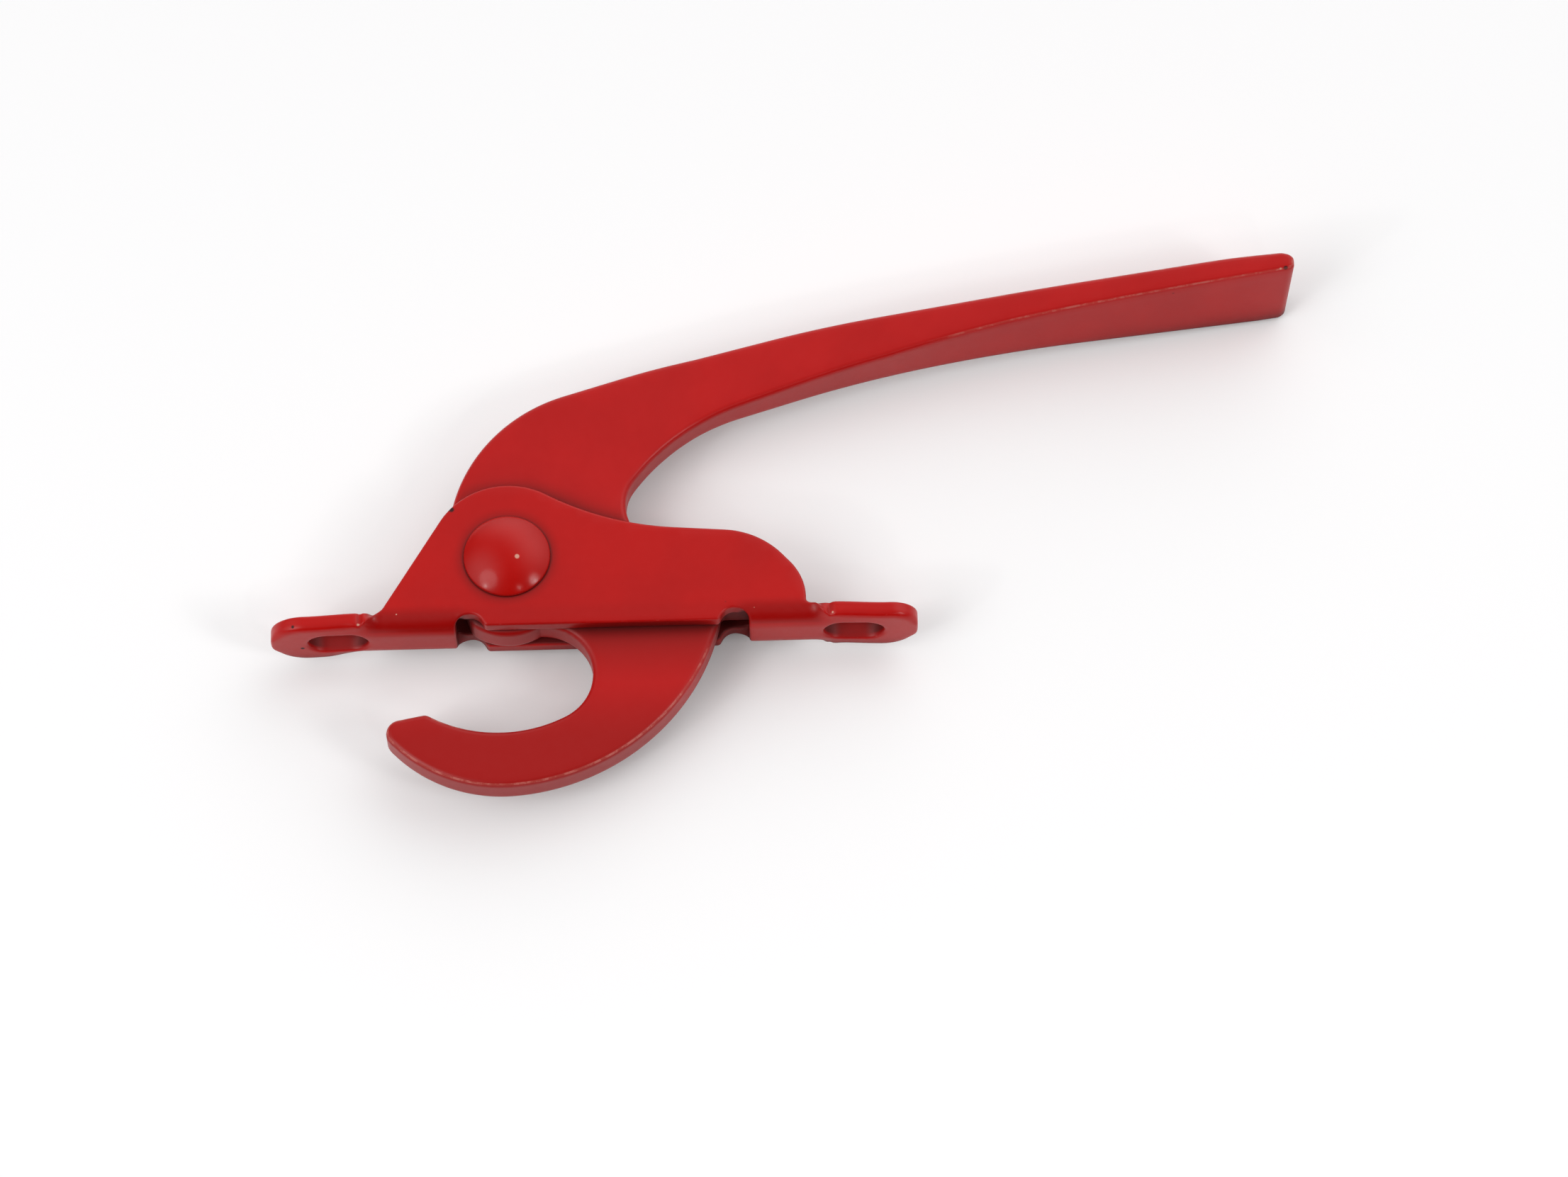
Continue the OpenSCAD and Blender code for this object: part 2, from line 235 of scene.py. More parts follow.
def plate(name, loops, grid, gap, place, front_edge, back_edge, walls, steps=5):
    """A plate with rounded edges.

    loops are (points, way in, whether it is the outer one). place(points, side, drop) gives points in space,
    where side is 1 at the front face and -1 at the back, and drop is how far under that face they lie.
    front_edge and back_edge give the rounding's radius at each point of the loops. walls is the number of
    rows between the two roundings, and steps the number of rows in each."""
    points = np.vstack([loop[0] for loop in loops])
    inward = np.vstack([loop[1] for loop in loops])
    count = len(points)
    front, back = front_edge(points), back_edge(points)
    angles = np.radians(np.linspace(0, 90, steps + 1))
    rows, rim = [], []

    def rounding(angle, radius, side):
        flat = points + inward * (radius * (1 - math.sin(angle)))[:, None]
        rows.append(place(flat, side, radius * (1 - math.cos(angle))))
        rim.append(np.full(count, side * math.sin(2 * angle)))

    for angle in angles:
        rounding(angle, front, 1)
    top, bottom = place(points, 1, front), place(points, -1, back)
    for k in range(1, walls):
        rows.append(top + (bottom - top) * k / walls)
        rim.append(np.zeros(count))
    for angle in angles[::-1]:
        rounding(angle, back, -1)

    faces = wall_faces(loops, len(rows), count)
    last_row = (len(rows) - 1) * count
    total = len(rows) * count
    for side, radius, first in ((1, front, 0), (-1, back, last_row)):
        flat = points + inward * radius[:, None]
        ends = np.cumsum([len(loop[0]) for loop in loops])[:-1]
        extra, triangles = fill(np.split(flat, ends), grid, gap)
        rows.append(place(extra, side, np.zeros(len(extra))))
        rim.append(np.zeros(len(extra)))
        index = np.concatenate([np.arange(count) + first, np.arange(len(extra)) + total])
        total += len(extra)
        triangles = index[triangles]
        faces += [tuple(triangle) for triangle in (triangles if side > 0 else triangles[:, ::-1])]
    return mesh_of(name, np.vstack(rows), faces, np.concatenate(rim))


# ---------------------------------------------------------------- shared sizes
# names end in _c for a centre, _r for a radius, _t for a thickness, and _w for a place across the flat blank
pivot = np.array([-11.5, 10.0])
sheet_t = 2.1
outer_z = 4.6                       # from the middle plane to a cheek's outer face
fold_r = 0.7
fold_out = fold_r + sheet_t
flat_w = outer_z - fold_out         # w runs across the flat blank, from its middle line
fold_w = flat_w + fold_out * math.pi / 2
lift_w = fold_w - fold_out          # w of a point on a cheek less its height

# ---------------------------------------------------------------- hook lever
lever_t = 4.8
handle_t = 13.4                     # at the handle's end
handle_end = 94.35
handle_y = 20                       # all of the handle is above this
flare_x = 14                        # where the handle starts to grow thicker
flare = (handle_t - lever_t) / 2 / (handle_end - flare_x)
tip_cut = 1.3                       # the end's corner is cut by this, at the back
tip_cut_z, tip_cut_depth = -3.4, 3.3
tip_lean = 0.3                      # and the end leans out by this
tip_lean_z, tip_lean_depth = 6.7, 10.1
tip_run = 5                         # both fade over this much of the handle's end
underside_rise = 1.45               # of the underside's front edge
underside_band = 3.8                # how far above the edge the rise reaches
rise_x, rise_run = 40, 50           # it starts here, and is full after this length
bore_r = 3.235

shoulder_r, nose_r, throat_r, inner_r = 21.8, 8, 6.75, 18.7
heel_r, hook_r, gap_r, finger_r = 20, 30, 6, 29
shoulder_c = pivot + [13.9, 3.6]
nose_c = pivot - [0, 2.2]
throat_c = np.array([pivot[0] + 4.3, -5.8])
inner_c = on(throat_c, inner_r - throat_r, 116.8)
hook_c = pivot - [1.4, 1.6]
heel_c = on(hook_c, hook_r - heel_r, 274)
gap_c = pivot + [21.7, 8.2]
finger_c = on(gap_c, finger_r - gap_r, -36)
nose_foot = meet(on(shoulder_c, shoulder_r, 200), 290, on(nose_c, nose_r, 237), 327)
nose_step = meet(on(nose_c, nose_r, 300), 30, on(throat_c, throat_r, 88), -2)
lip = on(inner_c, inner_r, 241.5) + unit(151.5)
tip = meet(lip, 190.8, on(heel_c, heel_r, 223), 133)
stop_y = 2.7
hook_end = math.degrees(math.asin((stop_y - 0.6 - hook_c[1]) / hook_r))
stop_root = meet(on(hook_c, hook_r, hook_end), 90 + hook_end, [0, stop_y], 0)
# the handle's back and underside are rows of long, nearly straight runs
top_end = np.array([handle_end, 51.15])
top_d = top_end - 8.4 * unit(3.4)
top_c = top_d - 26.2 * unit(7)
top_b = top_c - 29.3 * unit(8.1)
top_a = on(shoulder_c, shoulder_r, 107) + 12 * unit(17)
low_end = top_end - [0, 4]
low_b = low_end - 38.6 * unit(7.66)
low_a = meet(on(finger_c, finger_r, 108.5), 18.5, low_b, 12.1)
lever_outline = trace([
    bend(shoulder_c, shoulder_r, 107, 152), bend(shoulder_c, shoulder_r, 152, 200),
    corner(nose_foot, 1.6), bend(nose_c, nose_r, 237, 300), corner(nose_step, 0.4),
    bend(throat_c, throat_r, 88, 14), bend(throat_c, throat_r, 14, -63.2),
    bend(inner_c, inner_r, -63.2, -118.5), corner(lip, 1.2), corner(tip, 1.9),
    bend(heel_c, heel_r, -137, -86), bend(hook_c, hook_r, -86, -50), bend(hook_c, hook_r, -50, hook_end),
    corner(stop_root, 0.6), corner([23.2, stop_y], 2.5), corner([22.2, 11.5], 4),
    bend(gap_c, gap_r, 268, 206), bend(gap_c, gap_r, 206, 144), bend(finger_c, finger_r, 144, 108.5),
    corner(low_a, 170), corner(low_b, 260), corner(low_end, 1.2), corner(top_end, 1.8),
    corner(top_d, 100), corner(top_c, 600), corner(top_b, 180), corner(top_a, 110),
], step=0.45)


def lever_half(points):
    """Half the casting's thickness: even at the hook, growing along the handle."""
    on_handle = points[:, 1] > handle_y
    return lever_t / 2 + flare * np.where(on_handle, np.maximum(0, points[:, 0] - flare_x), 0)


def lever_place(points, side, drop):
    half = lever_half(points)
    z = side * (half - drop)
    # the end leans out a little towards the back, where its corner is cut
    cut = np.clip((tip_cut_z - z) / tip_cut_depth, 0, 1) * tip_cut
    lean = np.clip((tip_lean_z - z) / tip_lean_depth, 0, 1) * tip_lean
    x = points[:, 0] - (cut - lean) * smooth(points[:, 0], handle_end - tip_run, handle_end - 1)
    # the handle's underside faces forward more and more
    underside = np.interp(points[:, 0], *zip(low_a, low_b, low_end))
    near = 1 - np.clip((points[:, 1] - underside) / underside_band, 0, 1)
    run = 1 - (1 - np.clip((points[:, 0] - rise_x) / rise_run, 0, 1)) ** 2
    on_handle = points[:, 1] > handle_y
    y = points[:, 1] + underside_rise * run * near * (z / half + 1) / 2 * on_handle
    return np.stack([x, y, z], -1)


def lever_front_edge(points):
    return np.full(len(points), 0.8)


def lever_back_edge(points):
    return np.full(len(points), 1.1)


bore = trace(circle(pivot, bore_r), step=0.5, hole=True)
lever_grid = lattice((-30, -24), (96, 54), step=1.1)
lever = plate("lever_casting", [(*lever_outline, True), (*bore, False)], lever_grid, gap=0.45,
              place=lever_place, front_edge=lever_front_edge, back_edge=lever_back_edge, walls=10)
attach(lever, "lever")
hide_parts("hook_lever")

# ---------------------------------------------------------------- bracket, as a blank (x, w) that is folded
tab_w = 4.95                        # half the tabs' width
neck_w = 5.6
tab_tip_r = 4.7
cheek_r = 10.4                      # round the rivet
waist_r = 40                        # the hollow in the cheek's upper edge
front_r = 11.3                      # the cheek's front end
front_c = np.array([16.4, 2.0])
top_slope = 4.5                     # degrees by which the cheek's upper edge falls towards its front
top_normal = unit(90 - top_slope)
top_touch = on(front_c, front_r, 90 - top_slope)
waist_rise = waist_r - (pivot - top_touch) @ top_normal
waist_run = math.sqrt((cheek_r + waist_r) ** 2 - waist_rise ** 2)
waist_c = pivot + waist_run * unit(-top_slope) + waist_rise * top_normal
waist_angle = math.degrees(math.atan2(*(waist_c - pivot)[::-1]))
rear_slope = 58.5                   # degrees by which the cheek's rear edge rises
rear_touch = on(pivot, cheek_r, 90 + rear_slope)
up = np.array([0, lift_w])          # from the bracket's side view to the blank
rear_neck = meet(rear_touch + up, rear_slope, [0, neck_w], 0)
upper = [
    corner([42.4, tab_w], 3.6), corner([30.6, tab_w], 0.8),
    corner([29.3, 6.2], 0.9), corner([27.75, neck_w], 0.9),
    bend(front_c + up, front_r, -2, 42), bend(front_c + up, front_r, 42, 90 - top_slope),
    bend(waist_c + up, waist_r, 270 - top_slope, waist_angle + 180),
    bend(pivot + up, cheek_r, waist_angle, 110), bend(pivot + up, cheek_r, 110, 90 + rear_slope),
    corner([rear_neck[0], neck_w], 2.6),
    corner([-29.9, 5.9], 0.8), corner([-31.2, tab_w], 0.8), corner([-42.9, tab_w], tab_tip_r),
]
lower = mirrored(upper)
lower[-1][2] = tab_tip_r            # the far corner of the front tab is rounder
blank = trace(upper + lower, step=0.35)

# the opening between the folds, with a notch at each of its corners
arch_r = 1.9
free_w = lift_w + 0.3
notch_w = lift_w + 0.1
front_arch, rear_arch = np.array([18.3, notch_w]), np.array([-16.5, notch_w])
opening_half = [
    bend(front_arch, arch_r, 0, 90), bend(front_arch, arch_r, 90, 150),
    corner(meet(on(front_arch, arch_r, 150), 240, [0, free_w], 0), 0.6),
    corner(meet(on(rear_arch, arch_r, 30), 300, [0, free_w], 0), 0.6),
    bend(rear_arch, arch_r, 30, 90), bend(rear_arch, arch_r, 90, 180),
]
opening = trace(opening_half + mirrored(opening_half), step=0.4, hole=True)

# x, or w, over which one form of the bracket turns into the next
opening_middle = 0.9
opening_rear = (-18.3, -16.8)
opening_front = (18.6, 20.1)
cheek_foot = (2.2, 3.4)
tab_flat = (28.2, 31.4)
tab_flat_slow = 36                  # at the rear's far side
tab_raise = 0.3                     # the tabs' edges stand up by this, next to the necks
tab_raise_end = (31, 38.5)
tab_raise_w = (1.2, 4.6)
crease_x, crease_depth, crease_width = 30.9, 0.35, 0.35
crease_w = (2.5, 4.2)

slot_x = 34                         # from the middle to each slot
slot_half = 1.5                     # from a slot's middle to its ends' centres
slot_r = 2.45
slot_reach, slot_side = 4.6, 2.9    # a box round a slot, with its rounding
slot_narrow = 0.7                   # a slot's width at the back, as a share of that in front


def slot(x):
    front_end, rear_end = [x + slot_half, 0], [x - slot_half, 0]
    corners = [bend(front_end, slot_r, -90, 0), bend(front_end, slot_r, 0, 90),
               bend(rear_end, slot_r, 90, 180), bend(rear_end, slot_r, 180, 270)]
    return trace(corners, step=0.35, hole=True)


def in_slot(points):
    return (abs(abs(points[:, 0]) - slot_x) < slot_reach) & (abs(points[:, 1]) < slot_side)


def bracket_place(points, side, drop):
    depth = drop if side > 0 else sheet_t - drop
    # the slots narrow towards the back, so that nothing shows through them, as in the photograph
    narrow = (in_slot(points) & (side < 0))[:, None]
    points = np.where(narrow, points * [1, slot_narrow], points)
    x, sign, w = points[:, 0], np.sign(points[:, 1]), abs(points[:, 1])
    angle = np.clip((w - flat_w) / fold_out, 0, math.pi / 2)
    y = fold_out - (fold_out - depth) * np.cos(angle) + np.maximum(0, w - fold_w)
    z = np.minimum(w, flat_w) + (fold_out - depth) * np.sin(angle)
    # the cheeks are straight beside the opening
    straight = smooth(x, *opening_rear) * (1 - smooth(x, *opening_front)) * smooth(w, *cheek_foot)
    y = y + (w - lift_w - y) * straight
    z = z + (outer_z - depth - z) * straight
    # the tabs flatten out, more slowly at the rear's far side, and stay a little raised along their edges
    rear_far_side = (x < 0) & (points[:, 1] < 0)
    flat = smooth(abs(x), tab_flat[0], np.where(rear_far_side, tab_flat_slow, tab_flat[1]))
    raised = tab_raise * (1 - smooth(abs(x), *tab_raise_end)) * smooth(w, *tab_raise_w)
    y = y + (depth + raised - y) * flat
    z = z + (w - z) * flat
    # a crease across each edge, where the tab leaves the press tool
    crease = np.exp(-((abs(x) - crease_x) / crease_width) ** 2)
    z = z - crease_depth * crease * smooth(w, *crease_w)
    return np.stack([x, y, sign * z], -1)


plain_edge = 0.35                   # radius of the sheet's rounded edges
tab_edge_more = 0.5                 # so much more along the tabs, in front
slot_front_edge, slot_back_edge = 0.45, 0.1
rivet_hole_r = 3.225


def bracket_front_edge(points):
    on_tab = tab_edge_more * smooth(abs(points[:, 0]), 30, 33) * smooth(abs(points[:, 1]), 1, 3)
    return np.where(in_slot(points), slot_front_edge, plain_edge + on_tab)


def bracket_back_edge(points):
    return np.where(in_slot(points), slot_back_edge, plain_edge)


def rivet_hole(cheek):
    centre = [pivot[0], cheek * (pivot[1] + lift_w)]
    return trace(circle(centre, rivet_hole_r), step=0.5, hole=True)


# fine round the fold and on the tabs, coarser on the flat of the cheeks
bracket_grid = np.vstack([lattice((-43, -7.2), (43, 7.2), step=0.5),
                          lattice((-32, 7.4), (32, 26), step=1.3),
                          lattice((-32, -26), (32, -7.4), step=1.3)])
holes = [opening, slot(slot_x), slot(-slot_x), rivet_hole(1), rivet_hole(-1)]
bracket_loops = [(*blank, True)] + [(*hole, False) for hole in holes]
bracket = plate("bracket_sheet", bracket_loops, bracket_grid, gap=0.3, place=bracket_place,
                front_edge=bracket_front_edge, back_edge=bracket_back_edge, walls=4, steps=4)
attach(bracket, "bracket")
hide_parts("bracket")

# ---------------------------------------------------------------- rivet
shank_r = 3.175
rivet_turns = 96                    # points round the rivet
arc_points = 14                     # along its crown, and along its rim
foot_in = 0.06                      # the foot turns in a little, so that it sits in a fine groove
overlap = 0.01                      # the shank starts this far inside each head


def button(diameter, height, crown_r, rim_r, foot_z, way):
    """Half profile (radius, z) of a rivet end, from its middle to its foot."""
    rim_x = diameter / 2 - rim_r
    crown_y = height - crown_r
    rim_y = crown_y + math.sqrt((crown_r - rim_r) ** 2 - rim_x ** 2)
    lean = math.degrees(math.asin(rim_x / (crown_r - rim_r)))
    rows = [crown_r * unit(90 - angle) + [0, crown_y] for angle in np.linspace(0, lean, arc_points)]
    rows += [rim_r * unit(90 - angle) + [rim_x, rim_y] for angle in np.linspace(lean, 90, arc_points)[1:]]
    rows += [np.array([diameter / 2, rim_y * 0.4]), np.array([diameter / 2 - foot_in, 0.0])]
    return [np.array([radius, foot_z + way * rise]) for radius, rise in rows]


def turned(name, profile, centre, turns):
    """A closed body of revolution about the z line through the centre. The profile's ends are on the line."""
    points = [[*centre, profile[0][1]]]
    for radius, z in profile[1:-1]:
        points += [[*on(centre, radius, k * 360 / turns), z] for k in range(turns)]
    points.append([*centre, profile[-1][1]])
    last_row = 1 + (len(profile) - 3) * turns
    faces = []
    for k in range(turns):
        j = (k + 1) % turns
        faces.append((0, 1 + k, 1 + j))
        for row in range(1, last_row, turns):
            faces.append((row + k, row + turns + k, row + turns + j, row + j))
        faces.append((last_row + k, len(points) - 1, last_row + j))
    return mesh_of(name, np.array(points), faces)


head = button(diameter=11.5, height=2.4, crown_r=9, rim_r=0.5, foot_z=outer_z, way=1)
tail = button(diameter=9.6, height=1.8, crown_r=12, rim_r=0.9, foot_z=-outer_z, way=-1)
shank = [np.array([shank_r, outer_z - overlap]), np.array([shank_r, -outer_z + overlap])]
rivet = turned("rivet", head + shank + tail[::-1], pivot, rivet_turns)
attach(rivet, "bracket")
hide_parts("pivot_rivet")

# ---------------------------------------------------------------- camera
CAMERA_TILT = math.radians(23.4)    # down from the cheek's normal
CAMERA_ROLL = math.radians(1.45)
CAMERA_AT = (24.905, -328.639, 774.284)
SENSOR_WIDTH = 36
LENS = 9000 / 2212 * SENSOR_WIDTH   # as fitted: 9000 pixels for an image 2212 pixels wide

away = Vector((0, math.sin(CAMERA_TILT), -math.cos(CAMERA_TILT)))
upward = Vector((0, math.cos(CAMERA_TILT), math.sin(CAMERA_TILT)))
sideways = Vector((1, 0, 0))
picture_right = math.cos(CAMERA_ROLL) * sideways - math.sin(CAMERA_ROLL) * upward
picture_up = math.sin(CAMERA_ROLL) * sideways + math.cos(CAMERA_ROLL) * upward
camera_data = bpy.data.cameras.new("camera")
camera_data.lens = LENS
camera_data.sensor_width = SENSOR_WIDTH
camera_data.clip_start = 0.05
camera_data.clip_end = 20
camera = bpy.data.objects.new("camera", camera_data)
scene.collection.objects.link(camera)
camera_place = Matrix((picture_right, picture_up, -away)).transposed().to_4x4()
camera_place.translation = Vector(CAMERA_AT) * MM
camera.matrix_world = camera_place
scene.camera = camera


# ---------------------------------------------------------------- nodes
def shader(name):
    """A new material, with its node tree and its two first nodes."""
    material = bpy.data.materials.new(name)
    material.use_nodes = True
    tree = material.node_tree
    return material, tree, tree.nodes["Principled BSDF"], tree.nodes["Material Output"]


def linear(colour):
    """A colour as it is in a picture, 0 to 255, turned into light."""
    return [((v / 255 + 0.055) / 1.055) ** 2.4 if v > 10 else v / 255 / 12.92 for v in colour] + [1]


def scaled(colour, shares):
    return [part * share for part, share in zip(linear(colour), shares)] + [1]


def node(tree, kind, settings=(), **inputs):
    """A node with its settings and inputs, which are named, or numbered as i0, i1 and so on.
    An input is a value, or the socket that feeds it."""
    new = tree.nodes.new("ShaderNode" + kind)
    for key, value in dict(settings).items():
        setattr(new, key, value)
    for key, value in inputs.items():
        numbered = key[0] == "i" and key[1:].isdigit()
        socket = new.inputs[int(key[1:]) if numbered else key.replace("_", " ")]
        if isinstance(value, bpy.types.NodeSocket):
            tree.links.new(value, socket)
        else:
            socket.default_value = value
    return new


def math_of(tree, kind, a, b=0.0, c=0.0):
    return node(tree, "Math", {"operation": kind}, i0=a, i1=b, i2=c).outputs[0]


def product(tree, first, *others):
    for other in others:
        first = math_of(tree, "MULTIPLY", first, other)
    return first


def largest(tree, first, *others):
    for other in others:
        first = math_of(tree, "MAXIMUM", first, other)
    return first


def size_of(tree, value):
    return math_of(tree, "ABSOLUTE", value)


def ramp(tree, value, low, high, at_low=0.0, at_high=1.0):
    """A smooth step from at_low to at_high as the value goes from low to high."""
    return node(tree, "MapRange", {"interpolation_type": "SMOOTHSTEP"}, Value=value,
                i1=low, i2=high, i3=at_low, i4=at_high).outputs["Result"]


def ramp_mm(tree, length, low, high, at_low=0.0, at_high=1.0):
    """The same for a length, with low and high in mm."""
    return ramp(tree, length, low * MM, high * MM, at_low, at_high)


def blend(tree, share, a, b):
    return node(tree, "Mix", {"data_type": "RGBA", "blend_type": "MIX"}, i0=share, i6=a, i7=b).outputs[2]


def noise(tree, where, scale, detail, roughness):
    clouds = node(tree, "TexNoise", Vector=where, Scale=scale, Detail=detail, Roughness=roughness)
    return clouds.outputs["Fac"]


def distance(tree, where, centre):
    """How far a place is from a centre given in mm."""
    off = node(tree, "VectorMath", {"operation": "DISTANCE"}, i0=where, i1=[c * MM for c in centre])
    return off.outputs["Value"]


def from_line(tree, x, y, centre):
    """How far a place is from the z line through a centre given in mm."""
    return distance(tree, node(tree, "CombineXYZ", X=x, Y=y).outputs["Vector"], [*centre, 0])


def spot(tree, where, centre, radius):
    """1 within the radius (mm) of a place, 0 away from it."""
    return ramp_mm(tree, distance(tree, where, centre), radius, radius * 0.6)


def rim_of(tree, low, high):
    """Where the front edge is, from the mesh's own rim value."""
    return ramp(tree, node(tree, "Attribute", {"attribute_name": "rim"}).outputs["Fac"], low, high)


# ---------------------------------------------------------------- paint
WORN_AND_HIGHLIGHT = (202, 112, 102)              # paint that is rubbed thin, and the painted highlight along the lever's front edge
CHIP_AND_GLINT = (216, 156, 136)              # the primer in a chip, and painted glints on the tabs' creases
# the dark colour of dust specks and pits, and of painted shade in corners and slots and a painted shadow spot
GRIME_AND_SHADE = (58, 9, 8)
DULLER = (0.94, 0.8, 0.8)           # the colour of painted shade at full strength, as shares of red, green, blue
LIVELIER = (1.05, 1.2, 1.2)
DARKER = (0.75, 0.8, 0.65)          # where fade says 1
CORNER_REACH = 6                    # how far painted shade reaches from a corner
SPECK_STRENGTH = 0.45
LESS_ROUGH, MORE_ROUGH = 0.02, 0.03  # how far the roughness wanders
# rougher where the dark colour (dirt and painted shade) lies, and where paint is worn or chipped or carries a
# painted highlight or glint
DIRT_AND_SHADE_ROUGHER, WORN_AND_GLINT_ROUGHER = 0.3, 0.2


def dust_specks(tree, where):
    """Fine specks in the paint, in one cell in seven."""
    cells = node(tree, "TexVoronoi", Vector=where, Scale=230.0)
    chance = node(tree, "SeparateXYZ", Vector=cells.outputs["Color"]).outputs["X"]
    near = ramp(tree, cells.outputs["Distance"], 0.06, 0.035)
    return product(tree, near, ramp(tree, chance, 0.86, 0.87), SPECK_STRENGTH)


# painted shade: darkest where ambient occlusion finds corners, gaps and recesses
def corner_shade(tree):
    open_sky = node(tree, "AmbientOcclusion", {"samples": 8}, Distance=CORNER_REACH * MM).outputs["AO"]
    return product(tree, ramp(tree, open_sky, 0.98, 0.45), 0.8)


def orange_peel(tree, broad, fine):
    """The normal of sprayed paint: broad, shallow waves with a fine grain on them."""
    waves = node(tree, "Bump", Strength=0.25, Distance=0.08 * MM, Height=broad).outputs["Normal"]
    return node(tree, "Bump", Strength=0.1, Distance=0.01 * MM, Height=fine, Normal=waves).outputs["Normal"]


def paint(name, colour, rough, gloss, wear_and_highlight=None, chips_and_glints=(), pits_and_shadow_spots=(), painted_shade=None, recess_shade=None):
    """Thick red enamel: uneven colour, orange peel, painted shade in the corners, worn edges, chips and pits,
    and painted highlights, glints and a shadow spot.

    Three of the arguments are functions that say where the piece is rubbed (with a painted highlight on the
    lever's edge), where shade is painted, and where painted shade darkens its recesses; the other two give
    chips and painted glints, and pits and painted shadow spots, as (place, radius) in mm."""
    material, tree, surface, _ = shader(name)
    where = node(tree, "TexCoord").outputs["Object"]
    x, y, z = node(tree, "SeparateXYZ", Vector=where).outputs
    drift = noise(tree, where, 70.0, 4.0, 0.6)
    broad = noise(tree, where, 140.0, 1.5, 0.4)
    ragged = noise(tree, where, 800.0, 5.0, 0.7)
    fine = noise(tree, where, 1100.0, 2.0, 0.5)

    base = blend(tree, ramp(tree, drift, 0.3, 0.7), scaled(colour, DULLER), scaled(colour, LIVELIER))
    # painted shade
    if painted_shade:
        base = blend(tree, painted_shade(tree, x, y, z), base, scaled(colour, DARKER))
    # painted shade in the corners, dust specks, pits and a painted shadow spot, and painted shade in the
    # slots, all in the dark colour
    marks = [corner_shade(tree), dust_specks(tree, where)]
    marks += [spot(tree, where, centre, radius) for centre, radius in pits_and_shadow_spots]
    if recess_shade:
        marks.append(recess_shade(tree, x, y, z))
    dark = largest(tree, *marks)
    base = blend(tree, dark, base, linear(GRIME_AND_SHADE))
    worn_and_glints = []
    # worn paint, and a painted highlight along the lever's front edge
    if wear_and_highlight:
        worn_and_glints.append(wear_and_highlight(tree, x, y, z, ragged))
        base = blend(tree, worn_and_glints[-1], base, linear(WORN_AND_HIGHLIGHT))
    # chips, and painted glints
    if chips_and_glints:
        worn_and_glints.append(largest(tree, *[spot(tree, where, centre, radius) for centre, radius in chips_and_glints]))
        base = blend(tree, worn_and_glints[-1], base, linear(CHIP_AND_GLINT))
    tree.links.new(base, surface.inputs["Base Color"])

    roughness = ramp(tree, fine, 0.25, 0.75, rough - LESS_ROUGH, rough + MORE_ROUGH)
    roughness = math_of(tree, "MULTIPLY_ADD", dark, DIRT_AND_SHADE_ROUGHER, roughness)
    if worn_and_glints:
        roughness = math_of(tree, "MULTIPLY_ADD", largest(tree, *worn_and_glints), WORN_AND_GLINT_ROUGHER, roughness)
    tree.links.new(roughness, surface.inputs["Roughness"])
    tree.links.new(orange_peel(tree, broad, fine), surface.inputs["Normal"])
    surface.inputs["Specular IOR Level"].default_value = gloss
    return material


def lever_wear_and_highlight(tree, x, y, z, ragged):
    """Rubbed through along the front edge, with a painted highlight there: under the handle and round the
    outside of the hook.
    """
    handle = product(tree, ramp_mm(tree, x, 44, 52), 0.8)
    hook = product(tree, ramp_mm(tree, y, -1, -5), ramp_mm(tree, from_line(tree, x, y, throat_c), 12, 14))
    dashes = ramp(tree, ragged, 0.44, 0.6, 0.3, 0.95)
    return product(tree, rim_of(tree, 0.83, 1.0), dashes, largest(tree, handle, hook))


def lever_shade(tree, x, y, z):
    """Painted shade: darker where the hook leaves the bracket, and again round its bottom."""
    root = product(tree, ramp_mm(tree, y, 6, 3), ramp_mm(tree, y, -10, -1, 0.0, 0.75))
    return largest(tree, root, ramp_mm(tree, y, -5, -16))


def bracket_wear(tree, x, y, z, ragged):
    return product(tree, rim_of(tree, 0.8, 1.0), ramp(tree, ragged, 0.6, 0.7, 0.0, 0.3))


def bracket_shade(tree, x, y, z):
    """Painted shade: darker round the fold, less so beside the opening; and darker round the rivet's foot."""
    from_opening = size_of(tree, math_of(tree, "SUBTRACT", x, opening_middle * MM))
    fold = product(tree, ramp_mm(tree, y, 0.02, 0.3), ramp_mm(tree, y, 3.6, 1.8),
                   ramp_mm(tree, size_of(tree, z), 2.6, 3.2), ramp_mm(tree, size_of(tree, x), 30.5, 29),
                   ramp_mm(tree, from_opening, 17, 19, 0.3, 1.0))
    foot = product(tree, ramp_mm(tree, from_line(tree, x, y, pivot), 7.4, 5.6), ramp_mm(tree, z, 4, 4.4))
    return largest(tree, fold, foot)


def slot_shade(tree, x, y, z):
    """Painted shade inside the slots, most of it at their ends."""
    along = size_of(tree, math_of(tree, "SUBTRACT", size_of(tree, x), slot_x * MM))
    return product(tree, ramp_mm(tree, along, 1, 3.4, 0.3, 0.8), ramp_mm(tree, y, 0.3, 0.8),
                   ramp_mm(tree, size_of(tree, z), 2.9, 2.5), ramp_mm(tree, along, 4.8, 4.5),
                   ramp_mm(tree, y, 2, 1.9))


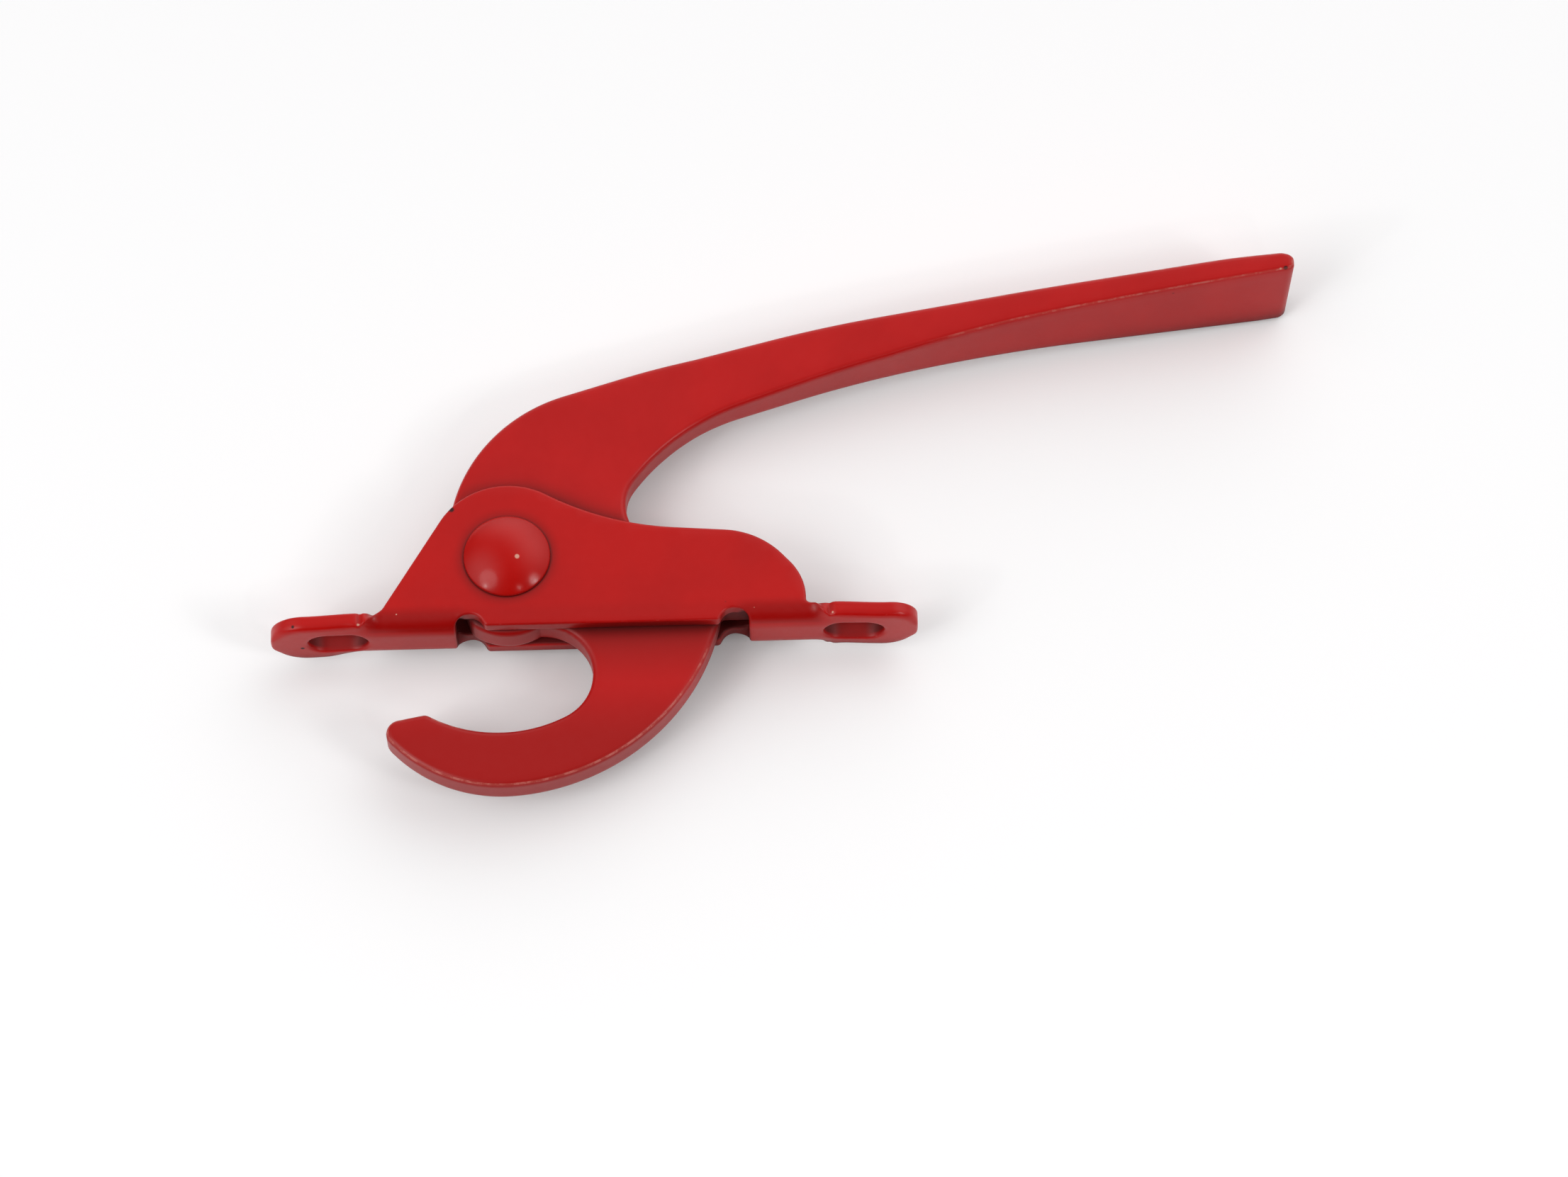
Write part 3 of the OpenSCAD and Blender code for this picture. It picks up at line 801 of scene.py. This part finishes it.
bracket.data.materials.append(paint(
    "bracket_paint", (183, 3, 0), rough=0.325, gloss=0.33,
    wear_and_highlight=bracket_wear, painted_shade=bracket_shade, recess_shade=slot_shade,
    # the first pit is a painted shadow, in the gap where the lever passes behind the cheek; the others are
    # specks
    pits_and_shadow_spots=[((-18.8, 17.0, 4.4), 0.5), ((-39.73, 0.64, 4.85), 0.35), ((-38.8, 0, -1.01), 0.35)],
    # the chips at x -31.08, -29.59 and 31.15, on the tabs' creases, are painted glints; the other two are
    # chips
    chips_and_glints=[((-26.08, 2.14, 4.6), 0.15), ((20.93, 1.85, 4.6), 0.2), ((-31.08, 0.71, 4.8), 0.22),
           ((-29.59, 0, 4.8), 0.22), ((31.15, 0.82, 4.85), 0.22)]))
lever.data.materials.append(paint(
    "lever_paint", (185, 16, 15), rough=0.32, gloss=0.28, wear_and_highlight=lever_wear_and_highlight, painted_shade=lever_shade,
    pits_and_shadow_spots=[((93.18, 48.5, 6.5), 0.4)], chips_and_glints=[((92.5, 48.4, 6.5), 0.25)]))
rivet.data.materials.append(paint(
    "rivet_paint", (184, 14, 9), rough=0.17, gloss=0.25,
    chips_and_glints=[((pivot[0] + 1.45, pivot[1] - 0.95, 6.9), 0.38)]))

# ---------------------------------------------------------------- floor
FLOOR_HALF = 2.5                    # metres
FLOOR_GAP = 0.02                    # under the object's lowest point
FLOOR_GLOW = 0.09                   # for the camera alone, and the floor keeps its shadow

floor_z = min(loaded[0][2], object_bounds()[0][2]) - FLOOR_GAP * MM
floor_corners = [(x * FLOOR_HALF, y * FLOOR_HALF, floor_z) for x, y in ((-1, -1), (1, -1), (1, 1), (-1, 1))]
floor_mesh = bpy.data.meshes.new("floor")
floor_mesh.from_pydata(floor_corners, [], [(0, 1, 2, 3)])
floor = bpy.data.objects.new("floor", floor_mesh)
scene.collection.objects.link(floor)
floor_white, floor_tree, floor_surface, floor_output = shader("floor_white")
floor_surface.inputs["Roughness"].default_value = 0.8
floor_surface.inputs["Specular IOR Level"].default_value = 0.0
floor_surface.inputs["Base Color"].default_value = (0.93, 0.926, 0.93, 1)
seen = node(floor_tree, "LightPath").outputs["Is Camera Ray"]
glow = node(floor_tree, "Emission", Color=(1, 1, 1, 1), Strength=product(floor_tree, seen, FLOOR_GLOW))
both = node(floor_tree, "AddShader", i0=floor_surface.outputs[0], i1=glow.outputs[0])
floor_tree.links.new(both.outputs[0], floor_output.inputs["Surface"])
floor_mesh.materials.append(floor_white)

# ---------------------------------------------------------------- light
LAMP_DISTANCE = 0.95                # metres
LAMPS_AIM = Vector((0.02, 0.01, 0))


def lamp(name, toward, size, watts):
    """A round soft box that looks at the object from the given side."""
    data = bpy.data.lights.new(name, "AREA")
    data.shape = "DISK"
    data.size = size
    data.energy = watts
    at = LAMPS_AIM + LAMP_DISTANCE * Vector(toward).normalized()
    box = bpy.data.objects.new(name, data)
    scene.collection.objects.link(box)
    box.location = at
    box.rotation_mode = "QUATERNION"
    box.rotation_quaternion = (LAMPS_AIM - at).to_track_quat("-Z", "Y")


# a soft box on each side, and three small lamps that give the sparkles
lamp("left_box", (-0.58, -0.38, 0.72), size=0.52, watts=1.7)
lamp("right_box", (0.68, -0.38, 0.62), size=0.28, watts=1.3)
lamp("left_spark", (-0.65, -0.50, 0.57), size=0.07, watts=0.35)
lamp("right_spark", (0.70, -0.42, 0.57), size=0.07, watts=0.25)
lamp("low_spark", (0.29, -0.65, 0.70), size=0.04, watts=0.2)

# the room is pale on both sides and behind, and dark in front: (direction, level) of each pale part
ROOM = (((0, 0.95, 0.3), 1.3), ((0.61, 0.51, 0.61), 1.5), ((-0.7, -0.1, 0.7), 1.7), ((0.7, -0.1, 0.7), 0.35))
ROOM_BASE = 0.01
ROOM_NARROWNESS = 6.0               # a higher power makes each pale part smaller

room = bpy.data.worlds.new("world")
room.use_nodes = True
room_tree = room.node_tree
background = room_tree.nodes["Background"]
direction = node(room_tree, "TexCoord").outputs["Generated"]
total = ROOM_BASE
for toward, level in ROOM:
    facing = node(room_tree, "VectorMath", {"operation": "DOT_PRODUCT"}, i0=direction, i1=toward)
    ahead = math_of(room_tree, "MAXIMUM", facing.outputs["Value"], 0.0)
    part = math_of(room_tree, "POWER", ahead, ROOM_NARROWNESS)
    total = math_of(room_tree, "MULTIPLY_ADD", part, level, total)
seen = node(room_tree, "LightPath").outputs["Is Camera Ray"]
strength = node(room_tree, "Mix", i0=seen, i2=total, i3=1.0).outputs["Result"]
room_tree.links.new(strength, background.inputs["Strength"])
background.inputs["Color"].default_value = (1, 1, 1, 1)
scene.world = room
